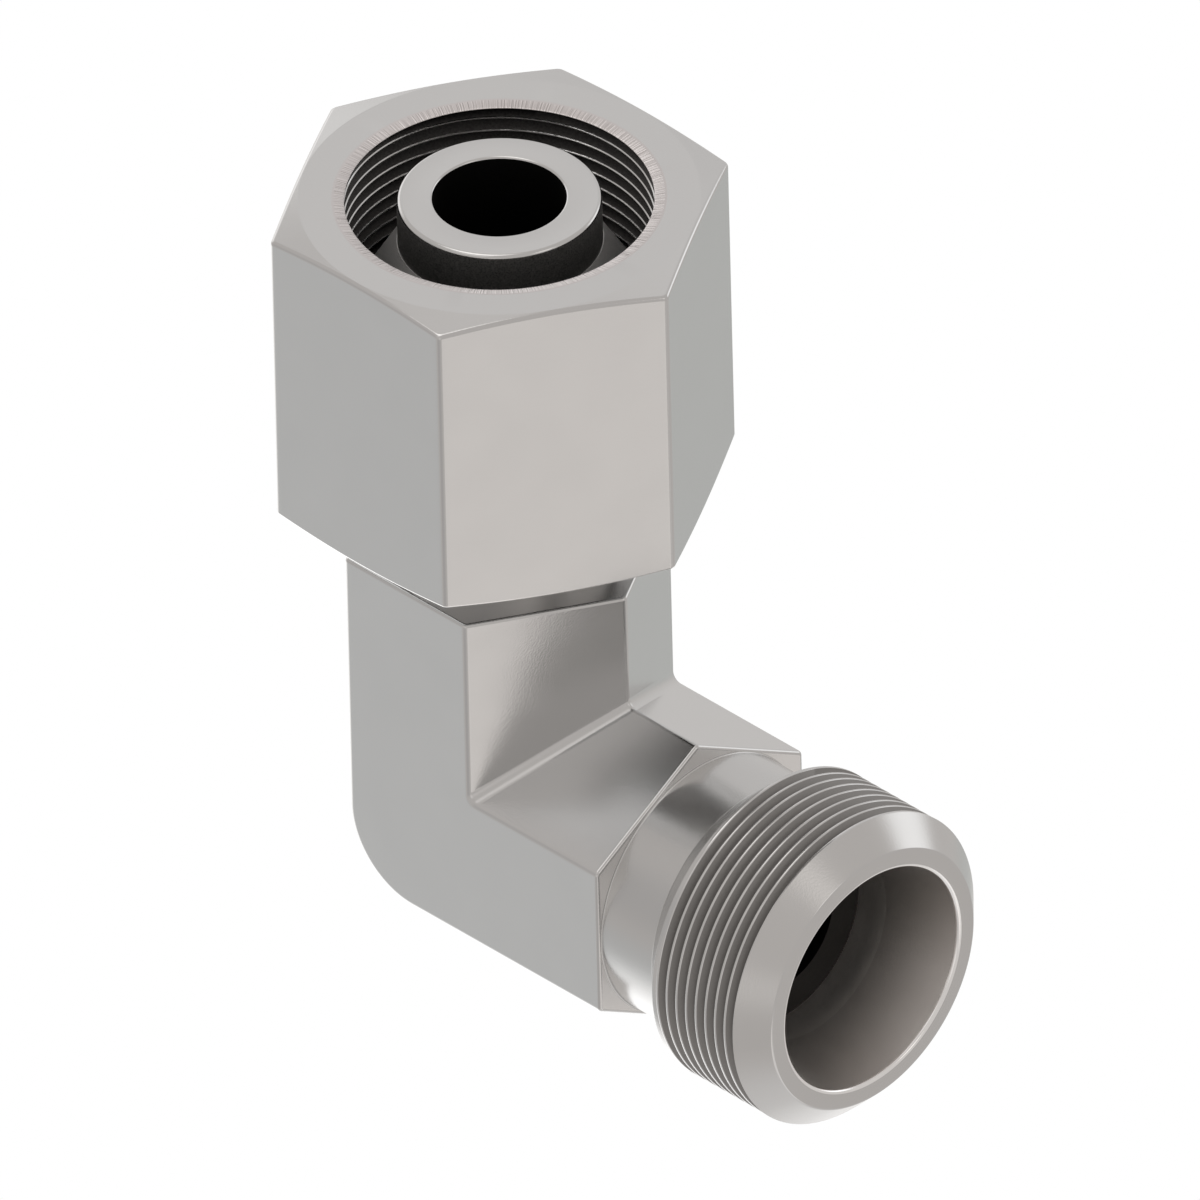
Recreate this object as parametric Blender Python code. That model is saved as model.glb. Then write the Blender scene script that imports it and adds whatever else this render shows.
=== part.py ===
"""90 degree elbow fitting for 12 mm hydraulic tube, with a swivel union nut on its standpipe.

Three pieces: the forged and turned elbow body, the cutting ring pressed on its standpipe, and the
hexagon union nut that turns on the standpipe behind the ring.

Frame: the two port axes cross at the origin. The standpipe and the nut point along +Z, the threaded
stub points along +X, and the hexagons have a pair of flats square to Y.
"""

import math

import bmesh
import bpy
from mathutils import Matrix, Vector

MM = 0.001

# Tube and flow passage
TUBE_OD = 12.0 * MM
FLOW_BORE = 8.0 * MM
DRILL_OVERRUN = 1.5 * MM  # full bore beyond the crossing of the axes
DRILL_POINT_ANGLE = math.radians(118)

# Forged hexagon block, measured from the crossing of the axes
BODY_AF = 17.0 * MM  # across flats
BODY_TOP = 17.6 * MM  # shoulder under the standpipe
BODY_FACE = 15.5 * MM  # shoulder behind the stub's neck
INNER_FILLET = 0.8 * MM  # radius along the valley inside the bend
BEND_STEPS = 18  # facets round the outside of the bend

# Threaded stub
STUB_END = 29.6 * MM
THREAD_OD = 19.9 * MM
THREAD_CREST = 0.1 * MM  # width of the flat left on each ridge of a thread
STUB_THREAD_PITCH = 0.794 * MM
STUB_THREAD_DEPTH = 0.55 * MM
NECK_STEP = 0.25 * MM  # the neck is this much inside the hexagon's flats
NECK_END = 19.7 * MM
THREAD_BACK_BEVEL = 1.7 * MM  # length of the slope from the neck up to the thread
THREAD_LEAD_BEVEL = 1.6 * MM  # 45 degree bevel at the mouth
SEAT_MOUTH = 14.2 * MM  # diameter of the cone seat at the mouth
SEAT_HALF_ANGLE = math.radians(12)
SOCKET_DEPTH = 7.2 * MM  # mouth to the tube stop
SOCKET_CLEARANCE = 0.05 * MM  # between the tube and its socket

# Standpipe
STANDPIPE_LENGTH = 24.0 * MM  # above the body's shoulder
STANDPIPE_ROOT_FILLET = 0.5 * MM
EDGE_BREAK = 0.2 * MM  # small bevel on turned edges

# Cutting ring
RING_SETBACK = 3.0 * MM  # standpipe end to the ring's nose
RING_LENGTH = 10.0 * MM
RING_NOSE = 0.1 * MM  # width of the flat on the cutting edge
RING_HALF_ANGLE = math.radians(31)
RING_SHOULDER = 1.8 * MM  # depth of the 45 degree shoulder at the back
RING_FIT = 0.1 * MM  # between the ring and the standpipe

# Union nut
NUT_AF = 24.0 * MM
NUT_HEIGHT = 20.3 * MM
NUT_CHAMFER_ANGLE = math.radians(11.5)
NUT_CHAMFER_START = 0.1 * MM  # the flat end circle is this much inside the flats
NUT_CREST_STEP = 0.9 * MM  # crests of the nut's thread inside the stub thread's outside
NUT_THREAD_PITCH = 0.912 * MM
NUT_THREAD_DEPTH = 0.8 * MM
NUT_MOUTH_WIDTH = 0.75 * MM  # shallow countersink round the thread's mouth
NUT_MOUTH_DEPTH = 0.1 * MM
NUT_REAR_WALL = 6.2 * MM  # length of the hole round the standpipe
NUT_REAR_CLEARANCE = 0.25 * MM  # between that hole and the standpipe
NUT_RELIEF_WIDTH = 1.5 * MM  # thread relief above the pressing cone
NUT_RELIEF_STEP = 0.1 * MM  # relief beyond the thread's outside
SEATING_GAP = 0.3 * MM  # between pieces that press on each other

ROUND_SEGMENTS = 72
FILLET_SEGMENTS = 5
SMOOTH_ANGLE = math.radians(30)  # sharper edges than this stay sharp
MERGE_DISTANCE = 0.00001 * MM
TOOL_MARGIN = 1.0 * MM  # how far a blank or a cutter reaches past what it shapes

# Sizes that follow from the ones above
tube_radius = TUBE_OD / 2
bore_radius = FLOW_BORE / 2
thread_radius = THREAD_OD / 2
neck_radius = BODY_AF / 2 - NECK_STEP
standpipe_top = BODY_TOP + STANDPIPE_LENGTH
nut_crest_radius = thread_radius - NUT_CREST_STEP
ring_bore_radius = tube_radius + RING_FIT
ring_outer_radius = nut_crest_radius - SEATING_GAP
ring_nose_z = standpipe_top - RING_SETBACK
ring_back_z = ring_nose_z - RING_LENGTH
nut_hole_radius = tube_radius + NUT_REAR_CLEARANCE


def clear_scene():
    for old in list(bpy.data.objects):
        bpy.data.objects.remove(old, do_unlink=True)


def metal(name, color, roughness):
    material = bpy.data.materials.new(name)
    material.use_nodes = True
    shader = material.node_tree.nodes["Principled BSDF"]
    shader.inputs["Base Color"].default_value = (*color, 1.0)
    shader.inputs["Metallic"].default_value = 1.0
    shader.inputs["Roughness"].default_value = roughness
    return material


def add_object(name, bm, material=None):
    mesh = bpy.data.meshes.new(name)
    bm.to_mesh(mesh)
    bm.free()
    if material:
        mesh.materials.append(material)
    piece = bpy.data.objects.new(name, mesh)
    bpy.context.scene.collection.objects.link(piece)
    return piece


def shade_round(piece):
    piece.data.shade_smooth()
    piece.data.set_sharp_from_angle(angle=SMOOTH_ANGLE)


def combine(piece, tool, operation):
    """Boolean on the piece; the tool is kept as a hidden wire object under it."""
    modifier = piece.modifiers.new(tool.name, "BOOLEAN")
    modifier.operation = operation
    modifier.solver = "EXACT"
    modifier.object = tool
    tool.hide_render = True
    tool.display_type = "WIRE"
    tool.parent = piece


def turned(profile):
    """Solid of revolution about Z from (radius, height) points.

    A profile that starts and ends on the axis is left open there; any other is closed into a ring.
    """
    bm = bmesh.new()
    points = [bm.verts.new((radius, 0.0, height)) for radius, height in profile]
    edges = [bm.edges.new(pair) for pair in zip(points, points[1:])]
    if profile[0][0] > 0:
        edges.append(bm.edges.new((points[-1], points[0])))
    bmesh.ops.spin(
        bm,
        geom=points + edges,
        axis=(0, 0, 1),
        angle=math.tau,
        steps=ROUND_SEGMENTS,
        use_merge=True,
    )
    bmesh.ops.remove_doubles(bm, verts=bm.verts, dist=MERGE_DISTANCE)
    bmesh.ops.recalc_face_normals(bm, faces=bm.faces)
    return bm


def along_x(bm):
    """Turns a shape made along Z so that it lies along X."""
    bm.transform(Matrix.Rotation(math.pi / 2, 4, "Y"))
    return bm


def hexagon(across_flats):
    """Corners of a hexagon with a pair of flats square to its second axis."""
    reach = across_flats / math.sqrt(3)
    turns = [math.radians(60 * i) for i in range(6)]
    return [(reach * math.cos(turn), reach * math.sin(turn)) for turn in turns]


def bend_path(inward, y):
    """The line that one corner of the hexagon follows round the bend, from the top to the stub face.

    A corner inside the bend is mitred, and one outside it is carried round the crossing of the axes.
    """
    if inward > 0:
        turn = [Vector((inward, y, inward))]
    else:
        angles = [math.pi / 2 * step / BEND_STEPS for step in range(BEND_STEPS + 1)]
        turn = [Vector((inward * math.cos(a), y, inward * math.sin(a))) for a in angles]
    return [Vector((inward, y, BODY_TOP))] + turn + [Vector((BODY_FACE, y, inward))]


def forged_block():
    """Hexagon bar bent through 90 degrees: mitred and filleted inside, round outside."""
    bm = bmesh.new()
    lines = [[bm.verts.new(point) for point in bend_path(*corner)] for corner in hexagon(BODY_AF)]
    valley = []
    for line, following in zip(lines, lines[1:] + lines[:1]):
        if len(line) != len(following):
            bm.faces.new(line + following[::-1])
            continue
        for i in range(len(line) - 1):
            bm.faces.new((line[i], line[i + 1], following[i + 1], following[i]))
        if len(line) == 3:
            valley.append(bm.edges.get((line[1], following[1])))
    bm.faces.new([line[0] for line in lines])
    bm.faces.new([line[-1] for line in lines])
    bmesh.ops.recalc_face_normals(bm, faces=bm.faces)
    # The faces on each side of the valley turn by this angle, so a fillet's tangent lies this far out.
    turn = math.acos(math.cos(math.radians(60)) ** 2)
    bmesh.ops.bevel(
        bm,
        geom=valley,
        offset=INNER_FILLET * math.tan(turn / 2),
        segments=FILLET_SEGMENTS,
        profile=0.5,
        affect="EDGES",
    )
    return bm


def thread_grooves(crest_radius, root_radius, low, high, pitch):
    """Profile points of the V grooves that fit between two heights, counted down from the upper one.

    Each groove is a closed ring, which has the thread's section and keeps the solid symmetric.
    """
    count = math.floor((high - low) / pitch)
    points = []
    for groove in range(count, 0, -1):
        start = high - groove * pitch
        points += [
            (crest_radius, start + THREAD_CREST / 2),
            (root_radius, start + pitch / 2),
            (crest_radius, start + pitch - THREAD_CREST / 2),
        ]
    return points


def stub_blank():
    """Turned neck and ridged thread with the lead bevel, from inside the block to the mouth."""
    thread_start = NECK_END + THREAD_BACK_BEVEL
    thread_end = STUB_END - THREAD_LEAD_BEVEL
    root_radius = thread_radius - STUB_THREAD_DEPTH
    profile = [
        (0, BODY_FACE / 2),
        (neck_radius, BODY_FACE / 2),
        (neck_radius, NECK_END),
        (thread_radius, thread_start),
    ]
    profile += thread_grooves(thread_radius, root_radius, thread_start, thread_end, STUB_THREAD_PITCH)
    profile += [
        (thread_radius, thread_end),
        (thread_radius - THREAD_LEAD_BEVEL, STUB_END),
        (0, STUB_END),
    ]
    return along_x(turned(profile))


def standpipe_blank():
    """Plain tube end with a root fillet on the block's shoulder."""
    profile = [
        (0, BODY_TOP / 2),
        (tube_radius + STANDPIPE_ROOT_FILLET, BODY_TOP / 2),
    ]
    for step in range(FILLET_SEGMENTS + 1):
        angle = math.pi / 2 * step / FILLET_SEGMENTS
        profile.append(
            (
                tube_radius + STANDPIPE_ROOT_FILLET * (1 - math.sin(angle)),
                BODY_TOP + STANDPIPE_ROOT_FILLET * (1 - math.cos(angle)),
            )
        )
    profile += [
        (tube_radius, standpipe_top - EDGE_BREAK),
        (tube_radius - EDGE_BREAK, standpipe_top),
        (0, standpipe_top),
    ]
    return turned(profile)


def drill_point():
    return -DRILL_OVERRUN - bore_radius / math.tan(DRILL_POINT_ANGLE / 2)


def standpipe_bore():
    """Flow bore drilled down the standpipe to just past the crossing."""
    beyond = standpipe_top + TOOL_MARGIN
    profile = [
        (0, drill_point()),
        (bore_radius, -DRILL_OVERRUN),
        (bore_radius, standpipe_top - EDGE_BREAK),
        (bore_radius + EDGE_BREAK, standpipe_top),
        (bore_radius + EDGE_BREAK, beyond),
        (0, beyond),
    ]
    return turned(profile)


def stub_bore():
    """Flow bore, tube socket and cone seat, cut from the stub's mouth."""
    socket_radius = tube_radius + SOCKET_CLEARANCE
    seat_radius = SEAT_MOUTH / 2
    seat_depth = (seat_radius - socket_radius) / math.tan(SEAT_HALF_ANGLE)
    tube_stop = STUB_END - SOCKET_DEPTH
    beyond = STUB_END + TOOL_MARGIN
    profile = [
        (0, drill_point()),
        (bore_radius, -DRILL_OVERRUN),
        (bore_radius, tube_stop),
        (socket_radius, tube_stop),
        (socket_radius, STUB_END - seat_depth),
        (seat_radius, STUB_END),
        (seat_radius, beyond),
        (0, beyond),
    ]
    return along_x(turned(profile))


def elbow_body():
    steel = metal("satin_stainless", (0.60, 0.59, 0.57), 0.32)
    body = add_object("elbow_body", forged_block(), steel)
    combine(body, add_object("stub_blank", stub_blank()), "UNION")
    combine(body, add_object("standpipe_blank", standpipe_blank()), "UNION")
    combine(body, add_object("standpipe_bore", standpipe_bore()), "DIFFERENCE")
    combine(body, add_object("stub_bore", stub_bore()), "DIFFERENCE")
    for tool in body.children:
        shade_round(tool)
    shade_round(body)
    return body


def cutting_ring():
    """Ring with a conical nose towards the tube end and a 45 degree shoulder that the nut presses."""
    nose_radius = ring_bore_radius + RING_NOSE
    nose_length = (ring_outer_radius - nose_radius) / math.tan(RING_HALF_ANGLE)
    profile = [
        (ring_bore_radius, RING_LENGTH),
        (nose_radius, RING_LENGTH),
        (ring_outer_radius, RING_LENGTH - nose_length),
        (ring_outer_radius, RING_SHOULDER),
        (ring_outer_radius - RING_SHOULDER, 0),
        (ring_bore_radius + EDGE_BREAK, 0),
        (ring_bore_radius, EDGE_BREAK),
    ]
    steel = metal("dark_ring_steel", (0.16, 0.155, 0.15), 0.45)
    ring = add_object("cutting_ring", turned(profile), steel)
    ring.location.z = ring_back_z
    shade_round(ring)
    return ring


def nut_blank():
    """Everything turned on the nut, with its underside at height 0."""
    reach = NUT_AF / math.sqrt(3) + TOOL_MARGIN
    flat_radius = NUT_AF / 2 - NUT_CHAMFER_START
    chamfer_drop = (reach - flat_radius) * math.tan(NUT_CHAMFER_ANGLE)
    relief_radius = thread_radius + NUT_RELIEF_STEP
    cone_top = NUT_REAR_WALL + relief_radius - nut_hole_radius
    relief_top = cone_top + NUT_RELIEF_WIDTH
    thread_start = relief_top + relief_radius - nut_crest_radius
    thread_end = NUT_HEIGHT - NUT_MOUTH_DEPTH
    root_radius = nut_crest_radius + NUT_THREAD_DEPTH
    profile = [
        (flat_radius, NUT_HEIGHT),
        (reach, NUT_HEIGHT - chamfer_drop),
        (reach, chamfer_drop),
        (flat_radius, 0),
        (nut_hole_radius + EDGE_BREAK, 0),
        (nut_hole_radius, EDGE_BREAK),
        (nut_hole_radius, NUT_REAR_WALL),
        (relief_radius, cone_top),
        (relief_radius, relief_top),
        (nut_crest_radius, thread_start),
    ]
    profile += thread_grooves(nut_crest_radius, root_radius, thread_start, thread_end, NUT_THREAD_PITCH)
    profile += [
        (nut_crest_radius, thread_end),
        (nut_crest_radius + NUT_MOUTH_WIDTH, NUT_HEIGHT),
    ]
    return turned(profile)


def hexagon_bar():
    """Bar stock longer than the nut at both ends."""
    bm = bmesh.new()
    ends = [
        [bm.verts.new((x, y, height)) for x, y in hexagon(NUT_AF)]
        for height in (-TOOL_MARGIN, NUT_HEIGHT + TOOL_MARGIN)
    ]
    for i in range(6):
        j = (i + 1) % 6
        bm.faces.new((ends[0][i], ends[0][j], ends[1][j], ends[1][i]))
    bm.faces.new(ends[0])
    bm.faces.new(ends[1])
    bmesh.ops.recalc_face_normals(bm, faces=bm.faces)
    return bm


def union_nut():
    """Turned blank cut to the hexagon, so both ends get the arced chamfer; origin on the swivel axis."""
    steel = metal("satin_nut_steel", (0.60, 0.59, 0.57), 0.30)
    nut = add_object("union_nut", nut_blank(), steel)
    # The nut's 45 degree cone lies one seating gap below the ring's shoulder, square to the slope.
    shoulder_radius = ring_outer_radius - RING_SHOULDER
    cone_at_shoulder = NUT_REAR_WALL + shoulder_radius - nut_hole_radius
    nut.location.z = ring_back_z - cone_at_shoulder - SEATING_GAP * math.sqrt(2)
    combine(nut, add_object("hexagon_bar", hexagon_bar()), "INTERSECT")
    shade_round(nut)
    return nut


clear_scene()
elbow_body()
cutting_ring()
union_nut()
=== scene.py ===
import math

import bmesh
import bpy
from mathutils import Matrix, Vector


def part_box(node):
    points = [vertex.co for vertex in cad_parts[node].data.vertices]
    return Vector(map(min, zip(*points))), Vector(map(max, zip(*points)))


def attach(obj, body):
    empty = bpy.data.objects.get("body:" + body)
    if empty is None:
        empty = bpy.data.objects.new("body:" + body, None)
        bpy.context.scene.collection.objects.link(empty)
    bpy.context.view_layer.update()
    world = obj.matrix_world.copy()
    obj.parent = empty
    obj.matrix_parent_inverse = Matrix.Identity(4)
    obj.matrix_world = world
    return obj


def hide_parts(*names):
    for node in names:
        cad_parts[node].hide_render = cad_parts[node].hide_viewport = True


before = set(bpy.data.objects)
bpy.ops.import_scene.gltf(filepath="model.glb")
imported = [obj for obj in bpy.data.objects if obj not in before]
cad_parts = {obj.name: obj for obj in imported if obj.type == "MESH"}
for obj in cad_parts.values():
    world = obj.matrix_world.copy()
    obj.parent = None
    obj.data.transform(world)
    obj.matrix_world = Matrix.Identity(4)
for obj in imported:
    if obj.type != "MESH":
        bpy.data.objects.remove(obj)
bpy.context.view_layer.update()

mm = 0.001
bodyLow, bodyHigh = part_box("elbow_body")
ringLow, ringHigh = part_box("cutting_ring")
nutLow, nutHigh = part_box("union_nut")

# the port axes cross at the origin: standpipe and nut along +Z, threaded stub along +X
bodyFlat = -bodyLow.x * math.sqrt(3) / 2  # half the body's width across flats
stubEnd = bodyHigh.x
pipeEnd = bodyHigh.z
nutFlat = nutHigh.y

roundSteps = 216
mergeDistance = 0.0002 * mm
joinDepth = 4 * mm  # how far the turned pieces start inside the forging that they are joined to
narrow = 0.12 * mm  # faces slimmer than this belong to a rounding
slack = 0.01 * mm  # for telling which surface a face lies on
sharpAngle = 38


# mesh helpers


def newPiece(name, bm, *materials):
    bmesh.ops.remove_doubles(bm, verts=bm.verts, dist=mergeDistance)
    bmesh.ops.dissolve_degenerate(bm, edges=bm.edges, dist=mergeDistance)
    bmesh.ops.recalc_face_normals(bm, faces=bm.faces)
    mesh = bpy.data.meshes.new(name)
    bm.to_mesh(mesh)
    bm.free()
    for material in materials:
        mesh.materials.append(material)
    piece = bpy.data.objects.new(name, mesh)
    bpy.context.scene.collection.objects.link(piece)
    return piece


def arc(center, radius, start, end, steps):
    # points (radius, height) on an arc, angles in degrees
    points = []
    for i in range(steps + 1):
        turn = math.radians(start + (end - start) * i / steps)
        points.append((center[0] + radius * math.cos(turn), center[1] + radius * math.sin(turn)))
    return points


def softened(corners, steps=5):
    # a profile from (radius, height, rounding) corners, each corner replaced by a small curve
    points = []
    for i, (r, h, rounding) in enumerate(corners):
        here = Vector((r, h))
        if rounding == 0 or i in (0, len(corners) - 1):
            points.append((r, h))
            continue
        back = Vector(corners[i - 1][:2]) - here
        ahead = Vector(corners[i + 1][:2]) - here
        half = back.angle(ahead) / 2
        reach = rounding / math.tan(half)
        a = here + back.normalized() * reach
        b = here + ahead.normalized() * reach
        middle = here + (back.normalized() + ahead.normalized()).normalized() * rounding / math.sin(half)
        fromTurn = math.atan2(a.y - middle.y, a.x - middle.x)
        sweep = (math.atan2(b.y - middle.y, b.x - middle.x) - fromTurn + math.pi) % math.tau - math.pi
        for k in range(steps + 1):
            turn = fromTurn + sweep * k / steps
            points.append((middle.x + rounding * math.cos(turn), middle.y + rounding * math.sin(turn)))
    return points


def lattice(columns, closed):
    # quads between columns of points that all have the same count
    bm = bmesh.new()
    grid = [[bm.verts.new(p) for p in column] for column in columns]
    count = len(grid[0])
    for i in range(len(grid) - 1):
        for k in range(count if closed else count - 1):
            corners = (grid[i][k], grid[i + 1][k], grid[i + 1][(k + 1) % count], grid[i][(k + 1) % count])
            bm.faces.new(corners)
    return bm


def threadRows(thread):
    # (share of a pitch, share of the depth) along one ridge: softly rounded crest, round root
    a, drop = thread["crestShare"], thread["crestDrop"]
    b, rise = thread["rootShare"], thread["rootRise"]
    rows = [(-a, 1 - drop), (-a / 2, 1 - drop / 4), (a / 2, 1 - drop / 4), (a, 1 - drop)]
    return rows + [(0.5 - b, rise), (0.5, 0), (0.5 + b, rise)]


def threadColumn(thread, turn):
    # (radius, height) down a single-start right-hand thread at this angle, fading into its two plain ends
    rows = threadRows(thread)
    pitch, low, high, depth = thread["pitch"], thread["low"], thread["high"], thread["depth"]
    seenTurn, seenHeight = thread["crestAt"]
    shift = ((seenHeight - low) / pitch - seenTurn / 360) % 1 - 1
    ridges = math.ceil((high - low) / pitch) + 2
    points = []
    for ridge in range(-1, ridges):
        for share, height in rows:
            h = low + pitch * (ridge + share + shift + turn / math.tau)
            fade = min(1, max(0, (h - low) / thread["fade"]), max(0, (high - h) / thread["fade"]))
            fade = fade * fade * (3 - 2 * fade)
            points.append((thread["crest"] - depth * fade * (1 - height), min(high, max(low, h))))
    return points


def shadeCrisp(piece):
    # smooth over the small roundings, flat over the wide faces
    piece.data.shade_smooth()
    piece.data.set_sharp_from_angle(angle=math.radians(sharpAngle))
    weighted = piece.modifiers.new("flatFaces", "WEIGHTED_NORMAL")
    weighted.keep_sharp = True


def polishEdges(piece, slot):
    # the narrow faces of the roundings take the finish in this slot
    for face in piece.data.polygons:
        corners = [piece.data.vertices[i].co for i in face.vertices]
        sides = [(a - b).length for a, b in zip(corners, corners[1:] + corners[:1])]
        if face.material_index == 0 and min(sides) < narrow:
            face.material_index = slot


def cutAndJoin(piece, tools):
    # Booleans in order, applied to the mesh
    for tool, operation in tools:
        step = piece.modifiers.new(tool.name, "BOOLEAN")
        step.operation = operation
        step.solver = "EXACT"
        step.material_mode = "TRANSFER"
        step.object = tool
    bpy.context.view_layer.update()
    graph = bpy.context.evaluated_depsgraph_get()
    made = bpy.data.meshes.new_from_object(piece.evaluated_get(graph))
    piece.modifiers.clear()
    piece.data = made
    for tool, _ in tools:
        bpy.data.objects.remove(tool)


def spun(profile, axis):
    # closed surface of revolution from (radius, height) points, about Z or X
    columns = []
    for i in range(roundSteps + 1):
        turn = math.tau * i / roundSteps
        points = profile(turn) if callable(profile) else profile
        if axis == "Z":
            columns.append([(r * math.cos(turn), r * math.sin(turn), h) for r, h in points])
        else:
            columns.append([(h, r * math.cos(turn), r * math.sin(turn)) for r, h in points])
    return columns


def hexagonOutline(flat, rounding, steps):
    # (along, across) points of a hexagon with rounded corners, a pair of flats square to the second axis
    points = []
    for corner in range(6):
        middle = (flat - rounding) / math.cos(math.radians(30))
        for k in range(steps + 1):
            turn = math.radians(60 * corner - 30 + 60 * k / steps)
            spoke = math.radians(60 * corner)
            along = middle * math.cos(spoke) + rounding * math.cos(turn)
            across = middle * math.sin(spoke) + rounding * math.sin(turn)
            points.append((along, across))
    return points


# finishes

cloudLow, cloudHigh = 0.3, 0.7  # the cloud noise lies mostly between these
streakLow, streakHigh = 0.35, 0.65  # and the noise of the tool marks between these
marksSlant = 0.6  # the tool marks also count this share of the radius, so end faces get rings too


def linkMath(tree, operation, a, b=None):
    node = tree.nodes.new("ShaderNodeMath")
    node.operation = operation
    for socket, value in zip(node.inputs, (a, b)):
        if value is None:
            continue
        if isinstance(value, (int, float)):
            socket.default_value = value
        else:
            tree.links.new(value, socket)
    return node.outputs[0]


def marksAlong(tree, marks):
    # one number that runs along the tool's marks: rings about X or Z, or spokes about Z
    place = tree.nodes.new("ShaderNodeTexCoord").outputs["Object"]
    split = tree.nodes.new("ShaderNodeSeparateXYZ")
    tree.links.new(place, split.inputs[0])
    x, y, z = split.outputs
    if marks == "spokesZ":
        return linkMath(tree, "ARCTAN2", y, x)
    along, a, b = (x, y, z) if marks == "ringsX" else (z, x, y)
    squares = linkMath(tree, "ADD", linkMath(tree, "MULTIPLY", a, a), linkMath(tree, "MULTIPLY", b, b))
    radius = linkMath(tree, "SQRT", squares)
    return linkMath(tree, "SUBTRACT", along, linkMath(tree, "MULTIPLY", radius, marksSlant))


def steel(name, finish):
    material = bpy.data.materials.new(name)
    material.use_nodes = True
    tree = material.node_tree
    nodes, links = tree.nodes, tree.links
    shader = nodes["Principled BSDF"]
    shader.inputs["Metallic"].default_value = 1.0
    place = nodes.new("ShaderNodeTexCoord")

    # cloudy shade and gloss, as pickled or tumbled steel has
    cloud = nodes.new("ShaderNodeTexNoise")
    cloud.inputs["Scale"].default_value = finish["cloudScale"]
    cloud.inputs["Detail"].default_value = 4.0
    links.new(place.outputs["Object"], cloud.inputs["Vector"])
    tint = nodes.new("ShaderNodeMix")
    tint.data_type = "RGBA"
    dark = [c * (1 - finish["shadeSpread"]) for c in finish["color"]]
    light = [min(1, c * (1 + finish["shadeSpread"])) for c in finish["color"]]
    tint.inputs["A"].default_value = (*dark, 1)
    tint.inputs["B"].default_value = (*light, 1)
    links.new(cloud.outputs["Fac"], tint.inputs["Factor"])
    links.new(tint.outputs["Result"], shader.inputs["Base Color"])
    gloss = nodes.new("ShaderNodeMapRange")
    gloss.inputs["From Min"].default_value = cloudLow
    gloss.inputs["From Max"].default_value = cloudHigh
    gloss.inputs["To Min"].default_value = finish["roughness"] - finish["glossSpread"]
    gloss.inputs["To Max"].default_value = finish["roughness"] + finish["glossSpread"]
    links.new(cloud.outputs["Fac"], gloss.inputs["Value"])
    links.new(gloss.outputs["Result"], shader.inputs["Roughness"])

    # fine grain of the blasted or ground surface
    grain = nodes.new("ShaderNodeTexNoise")
    grain.inputs["Scale"].default_value = finish["grainScale"]
    grain.inputs["Detail"].default_value = 2.0
    links.new(place.outputs["Object"], grain.inputs["Vector"])
    bump = nodes.new("ShaderNodeBump")
    bump.inputs["Strength"].default_value = finish["grainStrength"]
    bump.inputs["Distance"].default_value = finish["grainHeight"]
    links.new(grain.outputs["Fac"], bump.inputs["Height"])
    links.new(bump.outputs["Normal"], shader.inputs["Normal"])

    # the marks that the cutting tool left
    if finish.get("marks"):
        line = nodes.new("ShaderNodeTexNoise")
        line.noise_dimensions = "1D"
        line.inputs["Scale"].default_value = finish["marksScale"]
        line.inputs["Detail"].default_value = 1.0
        links.new(marksAlong(tree, finish["marks"]), line.inputs["W"])
        if finish.get("marksShade"):
            streaks = nodes.new("ShaderNodeMapRange")
            streaks.inputs["From Min"].default_value = streakLow
            streaks.inputs["From Max"].default_value = streakHigh
            streaks.inputs["To Min"].default_value = 1 - finish["marksShade"]
            streaks.inputs["To Max"].default_value = 1 + finish["marksShade"]
            links.new(line.outputs["Fac"], streaks.inputs["Value"])
            streaked = nodes.new("ShaderNodeVectorMath")
            streaked.operation = "SCALE"
            links.new(tint.outputs["Result"], streaked.inputs[0])
            links.new(streaks.outputs["Result"], streaked.inputs["Scale"])
            links.new(streaked.outputs["Vector"], shader.inputs["Base Color"])
        feed = nodes.new("ShaderNodeBump")
        feed.inputs["Strength"].default_value = finish["marksStrength"]
        feed.inputs["Distance"].default_value = finish["marksHeight"]
        links.new(line.outputs["Fac"], feed.inputs["Height"])
        links.new(bump.outputs["Normal"], feed.inputs["Normal"])
        links.new(feed.outputs["Normal"], shader.inputs["Normal"])
    return material


satin = {
    "color": (0.587, 0.585, 0.582),
    "roughness": 0.2,
    "shadeSpread": 0.012,
    "glossSpread": 0.02,
    "cloudScale": 260,
    "grainScale": 8000,
    "grainStrength": 0.28,
    "grainHeight": 0.014 * mm,
}
turnedFinish = {
    **satin,
    "color": (0.59, 0.586, 0.58),
    "marks": "ringsX",
    "marksScale": 9000,
    "marksStrength": 0.2,
    "marksHeight": 0.001 * mm,
}
faceFinish = {**turnedFinish, "color": satin["color"], "marks": "ringsZ"}
# painted light: the stub's seat cone and socket take far lighter colours than the other steel, making up
# for the shade inside the stub's bore
seatFinish = {**turnedFinish, "color": (0.74, 0.716, 0.697), "roughness": 0.35}
socketFinish = {**seatFinish, "color": (0.82, 0.795, 0.77), "roughness": 0.38}
darkFinish = {
    **satin,
    "color": (0.10, 0.098, 0.094),
    "roughness": 0.5,
    "shadeSpread": 0.35,
    "cloudScale": 9000,
    "grainScale": 9000,
    "grainStrength": 0.4,
    "grainHeight": 0.006 * mm,
}
# painted shade: near-black walls in the bores and on the socket's stop, where shade falls deep inside
boreFinish = {**darkFinish, "color": (0.022, 0.021, 0.02)}
# painted shade: the thread's grooves darkened, where shade falls between the ridges
grooveFinish = {**darkFinish, "color": (0.27, 0.262, 0.255), "shadeSpread": 0.12}
chatterFinish = {
    **satin,
    "color": (0.60, 0.57, 0.565),
    "marks": "spokesZ",
    "marksScale": 125,
    "marksStrength": 0.8,
    "marksHeight": 0.03 * mm,
    "marksShade": 0.22,
}
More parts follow.
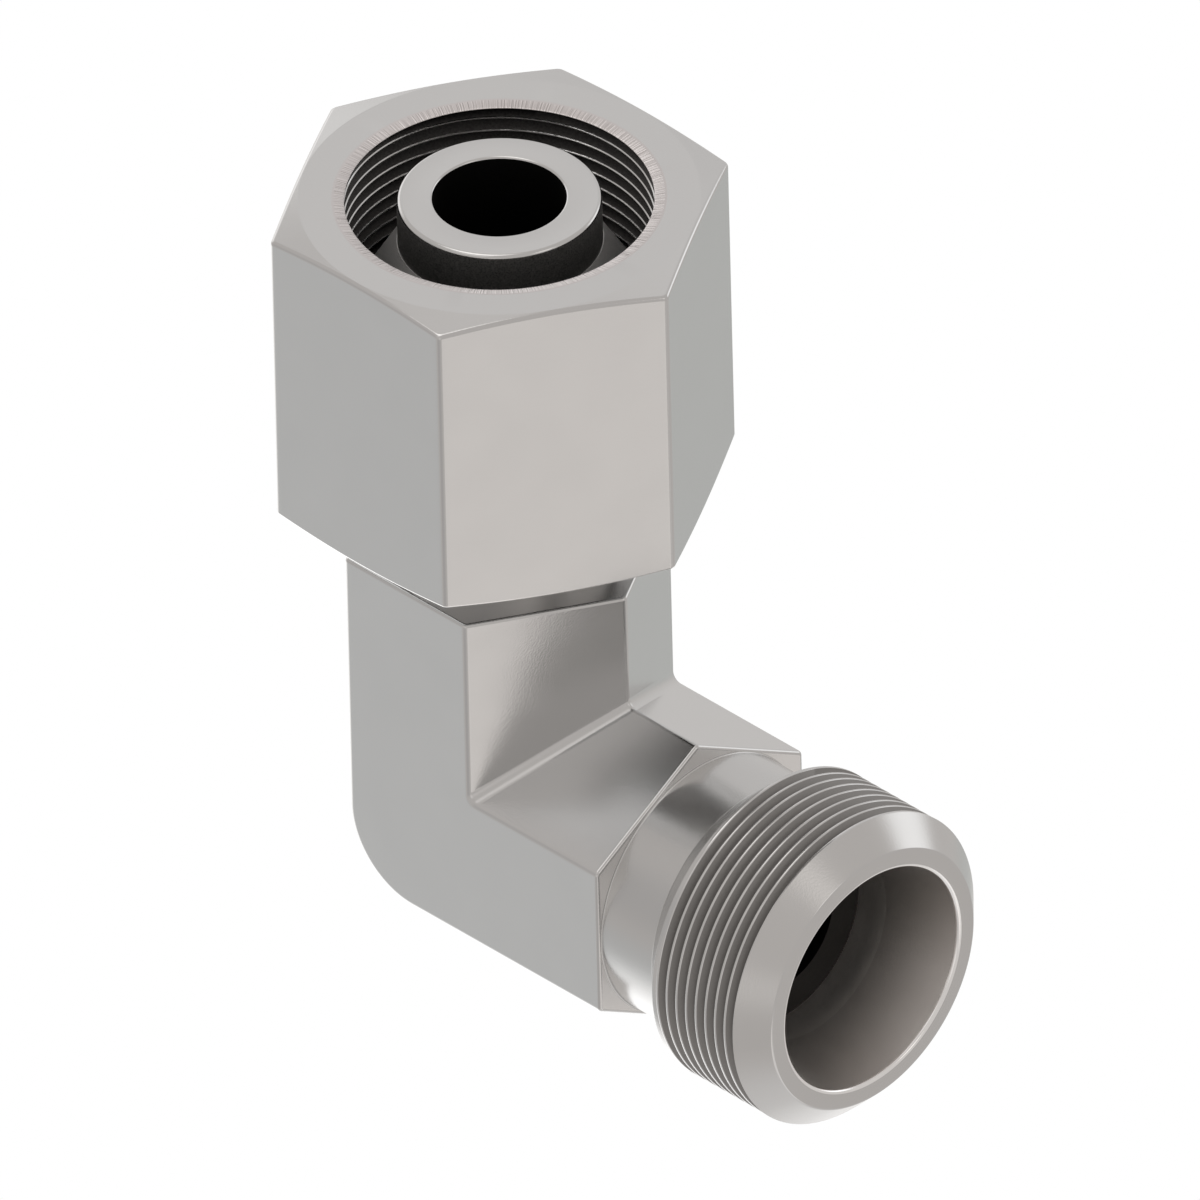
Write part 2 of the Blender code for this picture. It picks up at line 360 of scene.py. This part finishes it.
# painted light: the cutting ring's own steel is dull and dark, and this far lighter colour makes up for the
# nut's shade on it
ringFinish = {**darkFinish, "color": (0.75, 0.74, 0.73), "roughness": 0.6, "shadeSpread": 0.1}
edgeFinish = {**satin, "color": (0.58, 0.578, 0.575), "roughness": 0.1}
neckFinish = {**turnedFinish, "color": (0.565, 0.562, 0.557), "roughness": 0.25}

forgedSteel = steel("forgedSteel", satin)
edgeSteel = steel("edgeSteel", edgeFinish)
# painted highlight: a far lighter colour on the stub mouth's rounding and on the nut's downward-facing
# roundings
rimSteel = steel("rimSteel", {**edgeFinish, "color": (0.86, 0.855, 0.85)})
# painted light: a far lighter colour on the standpipe between the block and the nut, where the nut shades
# it; the block's end face behind the stub takes it too
sawnSteel = steel("sawnSteel", {**satin, "color": (0.82, 0.81, 0.8), "roughness": 0.3})
neckSteel = steel("neckSteel", neckFinish)
bevelSteel = steel("bevelSteel", turnedFinish)
facedSteel = steel("facedSteel", faceFinish)
stubThreadSteel = steel("stubThreadSteel", grooveFinish)
seatSteel = steel("seatSteel", seatFinish)
socketSteel = steel("socketSteel", socketFinish)
boreSteel = steel("boreSteel", boreFinish)
# painted shade: the standpipe's wall inside the nut, darkened where the nut shades it
pipeSteel = steel("pipeSteel", {**darkFinish, "color": (0.22, 0.216, 0.21), "shadeSpread": 0.95})
nutFlatSteel = steel("nutFlatSteel", satin)
# painted shade: the nut's thread grooves, relief and hole, darkened where shade falls inside the nut
nutThreadSteel = steel("nutThreadSteel", {**darkFinish, "color": (0.07, 0.068, 0.066), "shadeSpread": 0.8})
nutMouthSteel = steel("nutMouthSteel", chatterFinish)
countersinkSteel = steel("countersinkSteel", {**faceFinish, "color": (0.585, 0.56, 0.556)})
ringSteel = steel("ringSteel", ringFinish)
print("finishes ready")


# elbow: forged hexagon block, turned stub, standpipe, and the bores through them

forging = {
    "shoulder": 17.6 * mm,  # top of the block, under the standpipe
    "face": 15.5 * mm,  # end of the block, behind the stub's neck
    "corner": 0.4 * mm,  # rounding along the hexagon's corners
    "rim": 0.22 * mm,  # rounding round its two ends
    "valley": 0.62 * mm,  # fillet inside the bend
    "bendSteps": 48,
    "cornerSteps": 5,
    "rimSteps": 4,
}


def bendPoint(along, share):
    # a point of the section that lies this far along, carried round the bend
    if along > 0:
        r = forging["valley"]
        turn = math.pi + share * math.pi / 2
        return along + r + r * math.cos(turn), along + r + r * math.sin(turn)
    turn = share * math.pi / 2
    return along * math.cos(turn), along * math.sin(turn)


def forgedSection(inset, place):
    outline = hexagonOutline(bodyFlat - inset, forging["corner"] - inset, forging["cornerSteps"])
    column = []
    for along, across in outline:
        x, z = place(along)
        column.append((x, across, z))
    return column


def forgedBlock():
    # (inset, drop) from the sides round the rim to the end face
    turns = [math.pi / 2 * k / forging["rimSteps"] for k in range(forging["rimSteps"] + 1)]
    rim = [(forging["rim"] * (1 - math.cos(a)), forging["rim"] * (1 - math.sin(a))) for a in turns]
    sections = []
    for inset, drop in reversed(rim):
        sections.append(forgedSection(inset, lambda u, d=drop: (u, forging["shoulder"] - d)))
    for k in range(forging["bendSteps"] + 1):
        sections.append(forgedSection(0, lambda u, k=k: bendPoint(u, k / forging["bendSteps"])))
    for inset, drop in rim:
        sections.append(forgedSection(inset, lambda u, d=drop: (forging["face"] - d, u)))
    bm = bmesh.new()
    grid = [[bm.verts.new(p) for p in section] for section in sections]
    count = len(grid[0])
    rounded = forging["cornerSteps"] + 1
    for row, (above, below) in enumerate(zip(grid, grid[1:])):
        inRim = row < forging["rimSteps"] or row > len(grid) - 2 - forging["rimSteps"]
        for k in range(count):
            j = (k + 1) % count
            face = bm.faces.new((above[k], above[j], below[j], below[k]))
            face.material_index = 1 if inRim or k % rounded < forging["cornerSteps"] else 0
    bm.faces.new(grid[0])
    # the end face behind the stub takes the lighter colour in slot 2
    bm.faces.new(grid[-1]).material_index = 2
    return newPiece("elbowForging", bm, forgedSteel, edgeSteel, sawnSteel)


stub = {
    "neck": bodyFlat - 0.25 * mm,
    "neckFillet": 0.1 * mm,
    "neckEnd": 19.65 * mm,
    "neckRounding": 0.12 * mm,
    "crest": bodyHigh.y - 0.01 * mm,
    "crestRounding": 0.04 * mm,
    "mouthBevel": 1.62 * mm,
    "mouthRounding": 0.22 * mm,
    "seatRadius": 7.1 * mm,
    "seatAngle": 12,
    "socketRadius": 6.05 * mm,
    "socketDepth": 7.2 * mm,
    "edge": 0.23 * mm,
}
stubThread = {
    "pitch": 0.794 * mm,
    "depth": 0.55 * mm,
    "crest": stub["crest"],
    "low": 21.43 * mm,
    "high": stubEnd - stub["mouthBevel"],
    "crestAt": (135, 27.17 * mm),  # a crest passes here, degrees from +Y towards +Z and place along X
    "fade": 0.25 * mm,
    "crestShare": 0.11,
    "crestDrop": 0.08,
    "rootShare": 0.06,
    "rootRise": 0.05,
    "unshadedCrest": 0.08 * mm,  # the ridges keep the edge finish this far from their crests; deeper, the grooves take a painted shade
}


def stubProfile(turn):
    hidden = forging["face"] - joinDepth
    neck, fillet, crest, bevel = stub["neck"], stub["neckFillet"], stub["crest"], stub["mouthBevel"]
    base = neck + fillet
    points = [(0, hidden), (base, hidden), (base, forging["face"])]
    points += arc((base, forging["face"] + fillet), fillet, 270, 180, 4)[1:]
    start = [
        (neck, forging["face"] + fillet, 0), (neck, stub["neckEnd"], stub["neckRounding"]),
        (crest, stub["neckEnd"] + crest - neck, stub["crestRounding"]), (crest, stubThread["low"], 0),
    ]
    points += softened(start, 4)[1:]
    points += threadColumn(stubThread, turn)
    end = [(crest, stubEnd - bevel, 0), (crest - bevel, stubEnd, stub["mouthRounding"]), (0, stubEnd, 0)]
    return points + softened(end, 8)


pipe = {
    "radius": 6.0 * mm,
    "bore": 3.9 * mm,
    "rootFillet": 0.5 * mm,
    "darkFrom": nutLow.z + 1 * mm,  # painted shade on the standpipe above this height, inside the nut; below it, a painted light
    "edge": 0.28 * mm,
    "boreEdge": 0.16 * mm,
    "drillEnd": -1.5 * mm,
    "drillPoint": 118,
}


def pipeProfile():
    radius, fillet = pipe["radius"], pipe["rootFillet"]
    hidden = forging["shoulder"] - joinDepth
    points = [(0, hidden), (radius + fillet, hidden), (radius + fillet, forging["shoulder"])]
    points += arc((radius + fillet, forging["shoulder"] + fillet), fillet, 270, 180, 5)[1:]
    points.append((radius, pipe["darkFrom"]))
    top = [points.pop() + (0,), (radius, pipeEnd, pipe["edge"]), (0, pipeEnd, 0)]
    return points + softened(top, 7)


def boreProfile(corners, mouthRadius, mouthHeight, edge):
    # a drill's shape that ends in a rounded mouth, a little past the face
    cone = pipe["bore"] / math.tan(math.radians(pipe["drillPoint"] / 2))
    past = mouthHeight + 1 * mm
    points = [(0, pipe["drillEnd"] - cone), (pipe["bore"], pipe["drillEnd"])] + corners
    points += arc((mouthRadius + edge, mouthHeight - edge), edge, 180, 90, 5)
    return points + [(points[-1][0], past), (0, past)]


def makeElbow():
    body = forgedBlock()
    stubBlank = newPiece("stubBlank", lattice(spun(stubProfile, "X"), False),
                         bevelSteel, stubThreadSteel, edgeSteel, neckSteel)
    pipeBlank = newPiece("pipeBlank", lattice(spun(pipeProfile(), "Z"), False),
                         facedSteel, pipeSteel, edgeSteel, sawnSteel)
    pipeCut = boreProfile([], pipe["bore"], pipeEnd, pipe["boreEdge"])
    seat = (stub["seatRadius"] - stub["socketRadius"]) / math.tan(math.radians(stub["seatAngle"]))
    stop = stubEnd - stub["socketDepth"]
    corners = [(pipe["bore"], stop), (stub["socketRadius"], stop), (stub["socketRadius"], stubEnd - seat)]
    stubCut = boreProfile(corners, stub["seatRadius"], stubEnd, stub["edge"])
    pipeBore = newPiece("pipeBore", lattice(spun(pipeCut, "Z"), False), boreSteel, edgeSteel)
    stubBore = newPiece("stubBore", lattice(spun(stubCut, "X"), False),
                        seatSteel, boreSteel, rimSteel, socketSteel)
    # the stub's thread grooves take a painted shade, the crests the edge finish
    for face in stubBlank.data.polygons:
        radius = math.hypot(face.center.y, face.center.z)
        if stubThread["low"] < face.center.x < stubThread["high"]:
            face.material_index = 1 if radius < stub["crest"] - stubThread["unshadedCrest"] else 2
        elif face.center.x < stubThread["low"]:
            face.material_index = 3
    # the standpipe takes a painted light below darkFrom and a painted shade on its wall above it
    for face in pipeBlank.data.polygons:
        if face.center.z < pipe["darkFrom"]:
            face.material_index = 3
        elif math.hypot(face.center.x, face.center.y) > pipe["radius"] - slack:
            face.material_index = 1
    # inside the stub the stop and the bore take a painted shade, the socket and the seat cone a painted
    # light
    for face in stubBore.data.polygons:
        if face.center.x < stop + slack:
            face.material_index = 1
        elif face.center.x < stubEnd - seat:
            face.material_index = 3
    # the standpipe's bore takes a painted shade below its rounded mouth edge
    for face in pipeBore.data.polygons:
        if face.center.z > pipeEnd - pipe["boreEdge"]:
            face.material_index = 1
    polishEdges(stubBlank, 2)
    polishEdges(pipeBlank, 2)
    # the stub mouth's rounding takes slot 2, a painted highlight
    polishEdges(stubBore, 2)
    cutAndJoin(body, [(stubBlank, "UNION"), (pipeBlank, "UNION"),
                      (pipeBore, "DIFFERENCE"), (stubBore, "DIFFERENCE")])
    shadeCrisp(body)
    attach(body, "elbow")
    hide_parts("elbow_body")
    return body


elbow = makeElbow()
print("elbow", len(elbow.data.polygons), "faces")


# cutting ring on the standpipe

ring = {
    "halfAngle": 31,
    "shoulder": 1.8 * mm,
    "noseWidth": 0.03 * mm,
    "edge": 0.08 * mm,
    "fit": 0.015 * mm,  # between the ring and the pipe
}


def makeRing():
    outer = ringHigh.y
    inner = pipe["radius"] + ring["fit"]
    nose = inner + ring["noseWidth"]
    slope = (outer - nose) / math.tan(math.radians(ring["halfAngle"]))
    low, high = ringLow.z, ringHigh.z
    middle = (low + high) / 2
    edge, shoulder = ring["edge"], ring["shoulder"]
    corners = [
        (inner, middle, 0), (inner, high, 0), (nose, high, 0), (outer, high - slope, edge),
        (outer, low + shoulder, edge), (outer - shoulder, low, edge), (inner, low, edge),
        (inner, middle - edge, 0),
    ]
    piece = newPiece("cuttingRing", lattice(spun(softened(corners, 4), "Z"), True), ringSteel)
    shadeCrisp(piece)
    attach(piece, "elbow")
    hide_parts("cutting_ring")
    return piece


cuttingRing = makeRing()
print("cutting ring", len(cuttingRing.data.polygons), "faces")


# union nut: hexagon with arced chamfers, threaded inside

nut = {
    "corner": 0.42 * mm,
    "chamferAngle": 11.5,
    "chamferStart": 0.24 * mm,
    "rim": 0.28 * mm,  # rounding where the flats meet the upper chamfer
    "lowRim": 0.15 * mm,  # and the lower one
    "rimRoom": 0.95,  # share of the chamfer's width that these may take up
    "chamferRow": 0.97,  # how far along its plain part a chamfer has its last row of points
    "edge": 0.12 * mm,
    "holeEdge": 0.24 * mm,
    "holeRadius": 6.25 * mm,
    "holeLength": 6.2 * mm,
    "reliefRadius": 10.05 * mm,
    "reliefLength": 1.5 * mm,
    "crest": 9.05 * mm,
    "mouthRadius": 9.8 * mm,
    "mouthDepth": 0.15 * mm,
    "mouthCurve": 1.3,
    "mouthSteps": 6,
    "lip": 0.04 * mm,
    "chatter": 0.6 * mm,  # width of the tool's chatter marks round the thread
}
reliefLow = nutLow.z + nut["holeLength"] + nut["reliefRadius"] - nut["holeRadius"]
reliefHigh = reliefLow + nut["reliefLength"]
nutThread = {
    "pitch": 0.912 * mm,
    "depth": -0.8 * mm,
    "crest": nut["crest"],
    "low": reliefHigh + nut["reliefRadius"] - nut["crest"],
    "high": nutHigh.z - nut["mouthDepth"] - 0.05 * mm,
    "crestAt": (135, 40.71 * mm),  # a crest passes here, degrees from +X towards +Y and height
    "fade": 0.25 * mm,
    "crestShare": 0.08,
    "crestDrop": 0.12,
    "rootShare": 0.08,
    "rootRise": 0.05,
    # the crests keep the edge finish this far out from them; the grooves beyond take a painted shade
    "unshadedCrest": 0.07 * mm,
}


def nutSpokes():
    # (angle, distance to the outline) round the nut, close together at the rounded corners
    spokes = []
    half = math.radians(30)
    for along, across in hexagonOutline(nutFlat, nut["corner"], 6):
        spokes.append((math.atan2(across, along) % math.tau, math.hypot(along, across)))
    reach = nut["corner"] * math.tan(half) / nutFlat + math.radians(0.4)  # a little past the rounding
    for i in range(roundSteps):
        turn = math.tau * i / roundSteps
        fromCorner = (turn + half) % (2 * half) - half
        if abs(fromCorner) > reach:
            fromFlat = turn % (2 * half) - half
            spokes.append((turn, nutFlat / math.cos(fromFlat)))
    return sorted(spokes)


def nutColumn(turn, outline):
    low, high = nutLow.z, nutHigh.z
    edge, lip = nut["edge"], nut["lip"]
    endRadius = nutFlat - nut["chamferStart"]
    slope = math.radians(nut["chamferAngle"])
    drop = (outline - endRadius) * math.tan(slope)
    room = (outline - endRadius) / math.cos(slope) * math.tan((math.pi / 2 + slope) / 2)
    rim, lowRim = [min(nut[name], nut["rimRoom"] * room) for name in ("rim", "lowRim")]
    # a row of points just before each rounding keeps the chamfer's shading plain
    top, base = [nut["chamferRow"] * (1 - size / room) for size in (rim, lowRim)]
    hole, relief, crest = nut["holeRadius"], nut["reliefRadius"], nut["crest"]
    outside = [
        (nut["mouthRadius"], high, 0), (endRadius, high, 0),
        (endRadius + (outline - endRadius) * top, high - drop * top, 0), (outline, high - drop, rim),
        (outline, low + drop, lowRim), (endRadius + (outline - endRadius) * base, low + drop * base, 0),
        (endRadius, low, 0), (hole, low, nut["holeEdge"]),
        (hole, low + nut["holeLength"], edge), (relief, reliefLow, edge), (relief, reliefHigh, edge),
        (crest, nutThread["low"], 0),
    ]
    # the countersink starts level with the face and steepens towards the thread
    wide, deep, steps = nut["mouthRadius"] - crest, nut["mouthDepth"], nut["mouthSteps"]
    mouth = [(nut["mouthRadius"] - wide * k / steps, high - deep * (k / steps) ** nut["mouthCurve"])
             for k in range(steps - 1, 0, -1)]
    lipCurve = [(crest, nutThread["high"], 0), (crest, high - deep, lip), (*mouth[0], 0)]
    return softened(outside, 4) + threadColumn(nutThread, turn) + softened(lipCurve, 3) + mouth[1:]


def isRounded(normal):
    # true on the roundings, false on the flats, the ends and the chamfers
    same = 0.0005
    if abs(normal.z) > 0.5:
        levels = (1, math.cos(math.radians(nut["chamferAngle"])))
        return min(abs(abs(normal.z) - level) for level in levels) > same
    flats = [math.radians(30 + 60 * i) for i in range(6)]
    return max(normal.x * math.cos(turn) + normal.y * math.sin(turn) for turn in flats) < 1 - same


def creaseCircles(piece, radius):
    # keeps the border between the flat ends and the chamfers sharp
    points = piece.data.vertices
    near = 0.003 * mm
    for edge in piece.data.edges:
        if all(abs(math.hypot(*points[i].co[:2]) - radius) < near for i in edge.vertices):
            edge.use_edge_sharp = True


def makeNut():
    columns = []
    spokes = nutSpokes()
    for turn, outline in spokes + [(spokes[0][0] + math.tau, spokes[0][1])]:
        points = nutColumn(turn, outline)
        columns.append([(r * math.cos(turn), r * math.sin(turn), h) for r, h in points])
    piece = newPiece("unionNut", lattice(columns, True), nutFlatSteel, nutThreadSteel,
                     nutMouthSteel, edgeSteel, countersinkSteel, rimSteel)
    ridge = nut["crest"] + nutThread["unshadedCrest"]
    # inside the nut the thread's grooves, the relief and the hole take a painted shade, the crests the edge
    # finish
    for face in piece.data.polygons:
        radius, height = math.hypot(face.center.x, face.center.y), face.center.z
        if radius < nut["mouthRadius"] and height > nutThread["high"]:
            face.material_index = 2 if radius < nut["crest"] + nut["chatter"] else 4
        elif ridge < radius < nut["reliefRadius"] + slack and height > reliefLow:
            face.material_index = 1
        elif radius < ridge and height > nutLow.z + nut["holeEdge"]:
            face.material_index = 3 if height > reliefHigh else 1
        # roundings outside the mouth: downward-facing ones take a painted highlight, the others the edge
        # finish
        elif radius > nut["mouthRadius"] and isRounded(face.normal):
            face.material_index = 5 if face.normal.z < -0.05 else 3
    shadeCrisp(piece)
    creaseCircles(piece, nutFlat - nut["chamferStart"])
    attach(piece, "nut")
    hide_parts("union_nut")
    return piece


unionNut = makeNut()
print("union nut", len(unionNut.data.polygons), "faces")


# studio

studio = {
    "floorDrop": 300 * mm,  # the floor lies this far below the crossing of the axes
    "floorSize": 6.0,
    "floorShade": 0.8,
    "worldStrength": 0.8,
    "tentShade": (0.675, 0.645, 0.622),  # plain level of the light tent round the part
}

# soft lights in the tent: azimuth and elevation from the part, half width, colour added
softLights = {
    "lowBack": (171, -49, 43, (0.81, 0.825, 0.835)),
    "lowBackMiddle": (172, -56, 16, (0.17, 0.17, 0.17)),
    "belowMiddle": (100, -79, 15, (0.13, 0.13, 0.13)),
    "overhead": (-150, 78, 22, (1.1, 1.08, 1.06)),
    "rightStrip": (76, 12, 20, (0.69, 0.71, 0.73)),
    "frontSpot": (5, 30, 15, (0.52, 0.50, 0.48)),
    "leftBack": (165, 10, 30, (0.61, 0.615, 0.615)),
    "below": (110, -89, 50, (0.17, 0.18, 0.19)),
    "lowFront": (-13, -39, 19, (0.36, 0.34, 0.325)),
    "back": (118, 18, 48, (0.12, 0.13, 0.14)),
    "lowRight": (20, -45, 15, (0.35, 0.35, 0.35)),
    "lowLeft": (-135, -36, 22, (0.01, 0.04, 0.055)),
    "lowRightBack": (104, -36, 20, (-0.075, -0.04, -0.033)),
    "high": (132, 50, 22, (0.13, 0.13, 0.13)),
    "frontHigh": (-81, 52, 20, (0.27, 0.265, 0.26)),
    "frontGlow": (-55, -3, 20, (0.22, 0.215, 0.21)),
    "frontShade": (-75, -38, 24, (-0.11, -0.10, -0.09)),  # dark panels take light away
    "leftShade": (-126, 8, 24, (-0.08, -0.07, -0.06)),
}


def aim(azimuth, elevation):
    a, e = math.radians(azimuth), math.radians(elevation)
    return Vector((math.cos(e) * math.cos(a), math.cos(e) * math.sin(a), math.sin(e)))


def tentLight(tree, direction):
    # the tent's plain level plus each soft light, fading smoothly with the angle from its middle
    total = None
    for azimuth, elevation, width, color in softLights.values():
        near = tree.nodes.new("ShaderNodeVectorMath")
        near.operation = "DOT_PRODUCT"
        near.inputs[1].default_value = aim(azimuth, elevation)
        tree.links.new(direction, near.inputs[0])
        fall = tree.nodes.new("ShaderNodeMapRange")
        fall.interpolation_type = "SMOOTHSTEP"
        fall.inputs["From Min"].default_value = math.cos(math.radians(width))
        tree.links.new(near.outputs["Value"], fall.inputs["Value"])
        tinted = tree.nodes.new("ShaderNodeVectorMath")
        tinted.operation = "MULTIPLY_ADD"
        tinted.inputs[0].default_value = color
        tree.links.new(fall.outputs["Result"], tinted.inputs[1])
        tinted.inputs[2].default_value = studio["tentShade"]
        if total:
            tree.links.new(total, tinted.inputs[2])
        total = tinted.outputs["Vector"]
    return total


def raysSeen(tree):
    # which ray looks: straight from the camera or through glass, and in a reflection
    path = tree.nodes.new("ShaderNodeLightPath")
    straight = linkMath(tree, "MAXIMUM", path.outputs["Is Camera Ray"], path.outputs["Is Transmission Ray"])
    return straight, path.outputs["Is Glossy Ray"]


def shown(tree, mirrored, plain, rays):
    # the colour of floor or world: white to the camera, the tent in reflections, plain to the rest
    straight, glossy = rays
    inMetal = tree.nodes.new("ShaderNodeMix")
    inMetal.data_type = "RGBA"
    inMetal.inputs["A"].default_value = (plain, plain, plain, 1)
    tree.links.new(glossy, inMetal.inputs["Factor"])
    tree.links.new(mirrored, inMetal.inputs["B"])
    white = tree.nodes.new("ShaderNodeMix")
    white.data_type = "RGBA"
    white.inputs["B"].default_value = (1, 1, 1, 1)
    tree.links.new(straight, white.inputs["Factor"])
    tree.links.new(inMetal.outputs["Result"], white.inputs["A"])
    return white.outputs["Result"]


def makeFloor():
    half = studio["floorSize"] / 2
    bm = bmesh.new()
    corners = [(-half, -half), (half, -half), (half, half), (-half, half)]
    bm.faces.new([bm.verts.new((x, y, -studio["floorDrop"])) for x, y in corners])
    material = bpy.data.materials.new("paleFloor")
    material.use_nodes = True
    tree = material.node_tree
    tree.nodes.clear()
    place = tree.nodes.new("ShaderNodeNewGeometry")
    direction = tree.nodes.new("ShaderNodeVectorMath")
    direction.operation = "NORMALIZE"
    tree.links.new(place.outputs["Position"], direction.inputs[0])
    rays = raysSeen(tree)
    color = shown(tree, tentLight(tree, direction.outputs["Vector"]), studio["floorShade"], rays)
    paper = tree.nodes.new("ShaderNodeBsdfDiffuse")
    paper.inputs["Color"].default_value = (*[studio["floorShade"]] * 3, 1)
    glow = tree.nodes.new("ShaderNodeEmission")
    tree.links.new(color, glow.inputs["Color"])
    mix = tree.nodes.new("ShaderNodeMixShader")
    out = tree.nodes.new("ShaderNodeOutputMaterial")
    tree.links.new(linkMath(tree, "MAXIMUM", *rays), mix.inputs["Fac"])
    tree.links.new(paper.outputs[0], mix.inputs[1])
    tree.links.new(glow.outputs[0], mix.inputs[2])
    tree.links.new(mix.outputs[0], out.inputs["Surface"])
    floor = newPiece("floor", bm, material)


def makeWorld():
    world = bpy.data.worlds.new("studioWorld")
    bpy.context.scene.world = world
    world.use_nodes = True
    tree = world.node_tree
    background = tree.nodes["Background"]
    sky = tree.nodes.new("ShaderNodeTexCoord").outputs["Generated"]
    color = shown(tree, tentLight(tree, sky), studio["worldStrength"], raysSeen(tree))
    tree.links.new(color, background.inputs["Color"])


view = {
    "azimuth": -44.26,  # where the camera stands, degrees from +X towards +Y
    "elevation": 35.75,
    "roll": -1.39,
    "width": 69.94 * mm,
    "middle": Vector((-0.526, 7.912, 8.192)) * mm,
    "distance": 0.4,
    "clip": (0.01, 10),
}


def makeCamera():
    camera = bpy.data.cameras.new("camera")
    camera.type = "ORTHO"
    camera.ortho_scale = view["width"]
    camera.clip_start, camera.clip_end = view["clip"]
    holder = bpy.data.objects.new("camera", camera)
    bpy.context.scene.collection.objects.link(holder)
    back = aim(view["azimuth"], view["elevation"])
    level = (-back).to_track_quat("-Z", "Y").to_matrix()
    turn = level @ Matrix.Rotation(math.radians(view["roll"]), 3, "Z")
    place = view["middle"] + back * view["distance"]
    holder.matrix_world = Matrix.Translation(place) @ turn.to_4x4()
    bpy.context.scene.camera = holder


makeFloor()
makeWorld()
makeCamera()
bpy.context.scene.view_settings.view_transform = "Standard"
print("studio ready")
